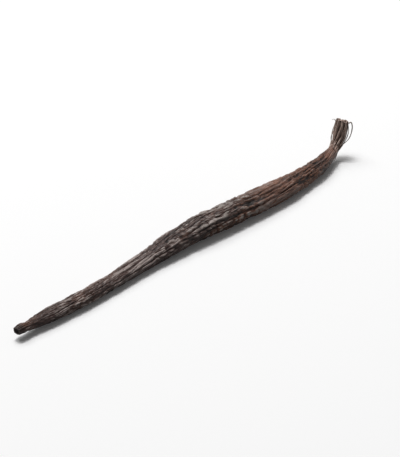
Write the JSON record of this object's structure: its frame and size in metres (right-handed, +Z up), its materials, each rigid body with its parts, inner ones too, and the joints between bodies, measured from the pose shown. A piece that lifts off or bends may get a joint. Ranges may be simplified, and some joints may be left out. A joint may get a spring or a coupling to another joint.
{
  "type": "vanilla pod",
  "caption": "Whole cured vanilla pod: a long, slim, flattened bean with wrinkled dark skin, a blunt flower end, a narrow neck and a short upturned flared stalk",
  "frame": {"origin": "Centre of the pod's box in X and Y, on the surface that the pod lies on", "axes": "+X runs along the pod from its blunt flower end to its stalk, +Y is sideways in the plane of its S-bend, +Z is up"},
  "size_m": [0.1596, 0.013, 0.0134],
  "materials": {
    "skin": "oily, wrinkled, very dark brown cured skin with a soft uneven sheen"
  },
  "bodies": {
    "root": {"pod": "skin"}
  },
  "joints": []
}
